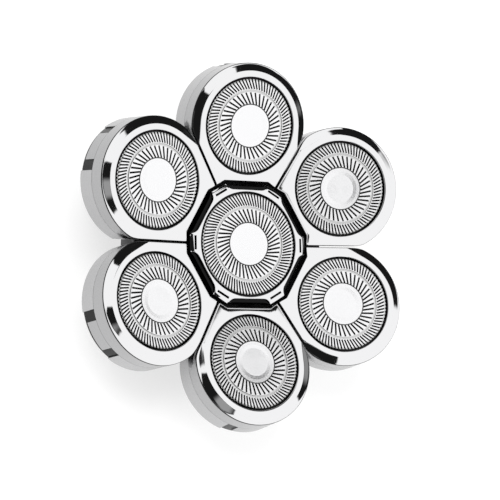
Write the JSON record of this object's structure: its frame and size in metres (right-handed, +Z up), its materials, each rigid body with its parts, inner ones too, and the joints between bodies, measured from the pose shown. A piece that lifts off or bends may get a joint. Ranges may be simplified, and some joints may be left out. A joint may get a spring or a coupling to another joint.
{
  "type": "rotary shaver head",
  "caption": "Rotary shaver head: tilting slotted foils in chromed caps round a sinking centre foil, with gears, sprung drive spindles and a plug-on collar.",
  "frame": {"origin": "on the unit's middle axis, at the end face of the connector collar on which it lies", "axes": "+Z up through the foils towards the skin; +Y towards the head that is at the top of the picture; +X to the picture's right"},
  "size_m": [0.0608, 0.0666, 0.0231],
  "materials": {
    "chrome": "mirror-bright plating on plastic",
    "satin_chrome": "satin plating on plastic",
    "foil_steel": "fine satin",
    "cutter_steel": "ground",
    "hub_plastic": "moulded",
    "gear_plastic": "moulded acetal",
    "spindle_plastic": "moulded acetal",
    "spring_steel": "drawn wire",
    "holder_plastic": "moulded",
    "black_plastic": "fine grain",
    "collar_plastic": "fine grain",
    "screw_steel": "zinc plated"
  },
  "bodies": {
    "base": {"gearbox_housing": "black_plastic", "gearbox_cover": "black_plastic", "connector_collar": "collar_plastic", "cover_screws": "screw_steel"},
    "sun_drive": {"sun_gear": "gear_plastic", "centre_spring": "spring_steel"},
    "planet_drive_1": {"planet_gear_1": "gear_plastic", "spring_1": "spring_steel"},
    "spindle_1": {"spindle_1": "spindle_plastic"},
    "head_1": {"cap_1": "chrome", "shell_1": "satin_chrome"},
    "foil_1": {"foil_1": "foil_steel"},
    "cutter_1": {"cutter_1": "cutter_steel", "cutter_hub_1": "hub_plastic"},
    "planet_drive_2": {"planet_gear_2": "gear_plastic", "spring_2": "spring_steel"},
    "spindle_2": {"spindle_2": "spindle_plastic"},
    "head_2": {"cap_2": "chrome", "shell_2": "satin_chrome"},
    "foil_2": {"foil_2": "foil_steel"},
    "cutter_2": {"cutter_2": "cutter_steel", "cutter_hub_2": "hub_plastic"},
    "planet_drive_3": {"planet_gear_3": "gear_plastic", "spring_3": "spring_steel"},
    "spindle_3": {"spindle_3": "spindle_plastic"},
    "head_3": {"cap_3": "chrome", "shell_3": "satin_chrome"},
    "foil_3": {"foil_3": "foil_steel"},
    "cutter_3": {"cutter_3": "cutter_steel", "cutter_hub_3": "hub_plastic"},
    "planet_drive_4": {"planet_gear_4": "gear_plastic", "spring_4": "spring_steel"},
    "spindle_4": {"spindle_4": "spindle_plastic"},
    "head_4": {"cap_4": "chrome", "shell_4": "satin_chrome"},
    "foil_4": {"foil_4": "foil_steel"},
    "cutter_4": {"cutter_4": "cutter_steel", "cutter_hub_4": "hub_plastic"},
    "planet_drive_5": {"planet_gear_5": "gear_plastic", "spring_5": "spring_steel"},
    "spindle_5": {"spindle_5": "spindle_plastic"},
    "head_5": {"cap_5": "chrome", "shell_5": "satin_chrome"},
    "foil_5": {"foil_5": "foil_steel"},
    "cutter_5": {"cutter_5": "cutter_steel", "cutter_hub_5": "hub_plastic"},
    "planet_drive_6": {"planet_gear_6": "gear_plastic", "spring_6": "spring_steel"},
    "spindle_6": {"spindle_6": "spindle_plastic"},
    "head_6": {"cap_6": "chrome", "shell_6": "satin_chrome"},
    "foil_6": {"foil_6": "foil_steel"},
    "cutter_6": {"cutter_6": "cutter_steel", "cutter_hub_6": "hub_plastic"},
    "centre_spindle": {"centre_spindle": "spindle_plastic"},
    "centre_head": {"centre_ring": "chrome", "centre_holder": "holder_plastic"},
    "centre_foil": {"centre_foil": "foil_steel"},
    "centre_cutter": {"centre_cutter": "cutter_steel", "centre_cutter_hub": "hub_plastic"}
  },
  "joints": [
    {"name": "sun_spin", "type": "hinge", "parent": "base", "child": "sun_drive", "pos_m": [0, 0, 0], "axis": [0, 0, 1], "continuous": true},
    {"name": "planet_spin_1", "type": "hinge", "parent": "base", "child": "planet_drive_1", "pos_m": [0.01905, 0.011, 0], "axis": [0, 0, 1], "continuous": true},
    {"name": "head_tilt_1", "type": "hinge", "parent": "base", "child": "head_1", "pos_m": [0.01239, 0.00716, 0.0136], "axis": [-0.5, 0.866, 0], "range_deg": [0, 10.87], "stiffness_Nm_per_rad": 0.03, "springref_deg": -11.46},
    {"name": "spindle_slide_1", "type": "slide", "parent": "planet_drive_1", "child": "spindle_1", "axis": [0, 0, 1], "range_m": [-0.0016, 0], "deforming": ["spring_1"]},
    {"name": "foil_float_1", "type": "slide", "parent": "head_1", "child": "foil_1", "axis": [-0.1633, -0.0943, 0.9821], "range_m": [-0.0006, 0], "stiffness_N_per_m": 100, "springref_m": 0.003},
    {"name": "cutter_spin_1", "type": "hinge", "parent": "foil_1", "child": "cutter_1", "pos_m": [0.01819, 0.0105, 0.02125], "axis": [-0.1633, -0.0943, 0.9821], "continuous": true},
    {"name": "planet_spin_2", "type": "hinge", "parent": "base", "child": "planet_drive_2", "pos_m": [0, 0.022, 0], "axis": [0, 0, 1], "continuous": true},
    {"name": "head_tilt_2", "type": "hinge", "parent": "base", "child": "head_2", "pos_m": [0, 0.01431, 0.0136], "axis": [-1, 0, 0], "range_deg": [0, 10.87], "stiffness_Nm_per_rad": 0.03, "springref_deg": -11.46},
    {"name": "spindle_slide_2", "type": "slide", "parent": "planet_drive_2", "child": "spindle_2", "axis": [0, 0, 1], "range_m": [-0.0016, 0], "deforming": ["spring_2"]},
    {"name": "foil_float_2", "type": "slide", "parent": "head_2", "child": "foil_2", "axis": [0, -0.1886, 0.9821], "range_m": [-0.0006, 0], "stiffness_N_per_m": 100, "springref_m": 0.003},
    {"name": "cutter_spin_2", "type": "hinge", "parent": "foil_2", "child": "cutter_2", "pos_m": [0, 0.021, 0.02125], "axis": [0, -0.1886, 0.9821], "continuous": true},
    {"name": "planet_spin_3", "type": "hinge", "parent": "base", "child": "planet_drive_3", "pos_m": [-0.01905, 0.011, 0], "axis": [0, 0, 1], "continuous": true},
    {"name": "head_tilt_3", "type": "hinge", "parent": "base", "child": "head_3", "pos_m": [-0.01239, 0.00716, 0.0136], "axis": [-0.5, -0.866, 0], "range_deg": [0, 10.87], "stiffness_Nm_per_rad": 0.03, "springref_deg": -11.46},
    {"name": "spindle_slide_3", "type": "slide", "parent": "planet_drive_3", "child": "spindle_3", "axis": [0, 0, 1], "range_m": [-0.0016, 0], "deforming": ["spring_3"]},
    {"name": "foil_float_3", "type": "slide", "parent": "head_3", "child": "foil_3", "axis": [0.1633, -0.0943, 0.9821], "range_m": [-0.0006, 0], "stiffness_N_per_m": 100, "springref_m": 0.003},
    {"name": "cutter_spin_3", "type": "hinge", "parent": "foil_3", "child": "cutter_3", "pos_m": [-0.01819, 0.0105, 0.02125], "axis": [0.1633, -0.0943, 0.9821], "continuous": true},
    {"name": "planet_spin_4", "type": "hinge", "parent": "base", "child": "planet_drive_4", "pos_m": [-0.01905, -0.011, 0], "axis": [0, 0, 1], "continuous": true},
    {"name": "head_tilt_4", "type": "hinge", "parent": "base", "child": "head_4", "pos_m": [-0.01239, -0.00716, 0.0136], "axis": [0.5, -0.866, 0], "range_deg": [0, 10.87], "stiffness_Nm_per_rad": 0.03, "springref_deg": -11.46},
    {"name": "spindle_slide_4", "type": "slide", "parent": "planet_drive_4", "child": "spindle_4", "axis": [0, 0, 1], "range_m": [-0.0016, 0], "deforming": ["spring_4"]},
    {"name": "foil_float_4", "type": "slide", "parent": "head_4", "child": "foil_4", "axis": [0.1633, 0.0943, 0.9821], "range_m": [-0.0006, 0], "stiffness_N_per_m": 100, "springref_m": 0.003},
    {"name": "cutter_spin_4", "type": "hinge", "parent": "foil_4", "child": "cutter_4", "pos_m": [-0.01819, -0.0105, 0.02125], "axis": [0.1633, 0.0943, 0.9821], "continuous": true},
    {"name": "planet_spin_5", "type": "hinge", "parent": "base", "child": "planet_drive_5", "pos_m": [0, -0.022, 0], "axis": [0, 0, 1], "continuous": true},
    {"name": "head_tilt_5", "type": "hinge", "parent": "base", "child": "head_5", "pos_m": [0, -0.01431, 0.0136], "axis": [1, 0, 0], "range_deg": [0, 10.87], "stiffness_Nm_per_rad": 0.03, "springref_deg": -11.46},
    {"name": "spindle_slide_5", "type": "slide", "parent": "planet_drive_5", "child": "spindle_5", "axis": [0, 0, 1], "range_m": [-0.0016, 0], "deforming": ["spring_5"]},
    {"name": "foil_float_5", "type": "slide", "parent": "head_5", "child": "foil_5", "axis": [0, 0.1886, 0.9821], "range_m": [-0.0006, 0], "stiffness_N_per_m": 100, "springref_m": 0.003},
    {"name": "cutter_spin_5", "type": "hinge", "parent": "foil_5", "child": "cutter_5", "pos_m": [0, -0.021, 0.02125], "axis": [0, 0.1886, 0.9821], "continuous": true},
    {"name": "planet_spin_6", "type": "hinge", "parent": "base", "child": "planet_drive_6", "pos_m": [0.01905, -0.011, 0], "axis": [0, 0, 1], "continuous": true},
    {"name": "head_tilt_6", "type": "hinge", "parent": "base", "child": "head_6", "pos_m": [0.01239, -0.00716, 0.0136], "axis": [0.5, 0.866, 0], "range_deg": [0, 10.87], "stiffness_Nm_per_rad": 0.03, "springref_deg": -11.46},
    {"name": "spindle_slide_6", "type": "slide", "parent": "planet_drive_6", "child": "spindle_6", "axis": [0, 0, 1], "range_m": [-0.0016, 0], "deforming": ["spring_6"]},
    {"name": "foil_float_6", "type": "slide", "parent": "head_6", "child": "foil_6", "axis": [-0.1633, 0.0943, 0.9821], "range_m": [-0.0006, 0], "stiffness_N_per_m": 100, "springref_m": 0.003},
    {"name": "cutter_spin_6", "type": "hinge", "parent": "foil_6", "child": "cutter_6", "pos_m": [0.01819, -0.0105, 0.02125], "axis": [-0.1633, 0.0943, 0.9821], "continuous": true},
    {"name": "centre_sink", "type": "slide", "parent": "base", "child": "centre_head", "axis": [0, 0, 1], "range_m": [-0.0008, 0], "stiffness_N_per_m": 200, "springref_m": 0.003},
    {"name": "centre_spindle_slide", "type": "slide", "parent": "sun_drive", "child": "centre_spindle", "axis": [0, 0, 1], "range_m": [-0.0008, 0], "deforming": ["centre_spring"]},
    {"name": "centre_foil_float", "type": "slide", "parent": "centre_head", "child": "centre_foil", "axis": [0, 0, 1], "range_m": [-0.0006, 0], "stiffness_N_per_m": 100, "springref_m": 0.003},
    {"name": "centre_cutter_spin", "type": "hinge", "parent": "centre_foil", "child": "centre_cutter", "pos_m": [0, 0, 0.0198], "axis": [0, 0, 1], "continuous": true}
  ],
  "couplings": [
    {"joint": "planet_spin_1", "follows": "sun_spin", "ratio": -3.4},
    {"joint": "cutter_spin_1", "follows": "sun_spin", "ratio": -3.4},
    {"joint": "spindle_slide_1", "follows": "head_tilt_1", "m_per_rad": -0.0079},
    {"joint": "planet_spin_2", "follows": "sun_spin", "ratio": -3.4},
    {"joint": "cutter_spin_2", "follows": "sun_spin", "ratio": -3.4},
    {"joint": "spindle_slide_2", "follows": "head_tilt_2", "m_per_rad": -0.0079},
    {"joint": "planet_spin_3", "follows": "sun_spin", "ratio": -3.4},
    {"joint": "cutter_spin_3", "follows": "sun_spin", "ratio": -3.4},
    {"joint": "spindle_slide_3", "follows": "head_tilt_3", "m_per_rad": -0.0079},
    {"joint": "planet_spin_4", "follows": "sun_spin", "ratio": -3.4},
    {"joint": "cutter_spin_4", "follows": "sun_spin", "ratio": -3.4},
    {"joint": "spindle_slide_4", "follows": "head_tilt_4", "m_per_rad": -0.0079},
    {"joint": "planet_spin_5", "follows": "sun_spin", "ratio": -3.4},
    {"joint": "cutter_spin_5", "follows": "sun_spin", "ratio": -3.4},
    {"joint": "spindle_slide_5", "follows": "head_tilt_5", "m_per_rad": -0.0079},
    {"joint": "planet_spin_6", "follows": "sun_spin", "ratio": -3.4},
    {"joint": "cutter_spin_6", "follows": "sun_spin", "ratio": -3.4},
    {"joint": "spindle_slide_6", "follows": "head_tilt_6", "m_per_rad": -0.0079},
    {"joint": "centre_cutter_spin", "follows": "sun_spin", "ratio": 1},
    {"joint": "centre_spindle_slide", "follows": "centre_sink", "ratio": 1}
  ]
}
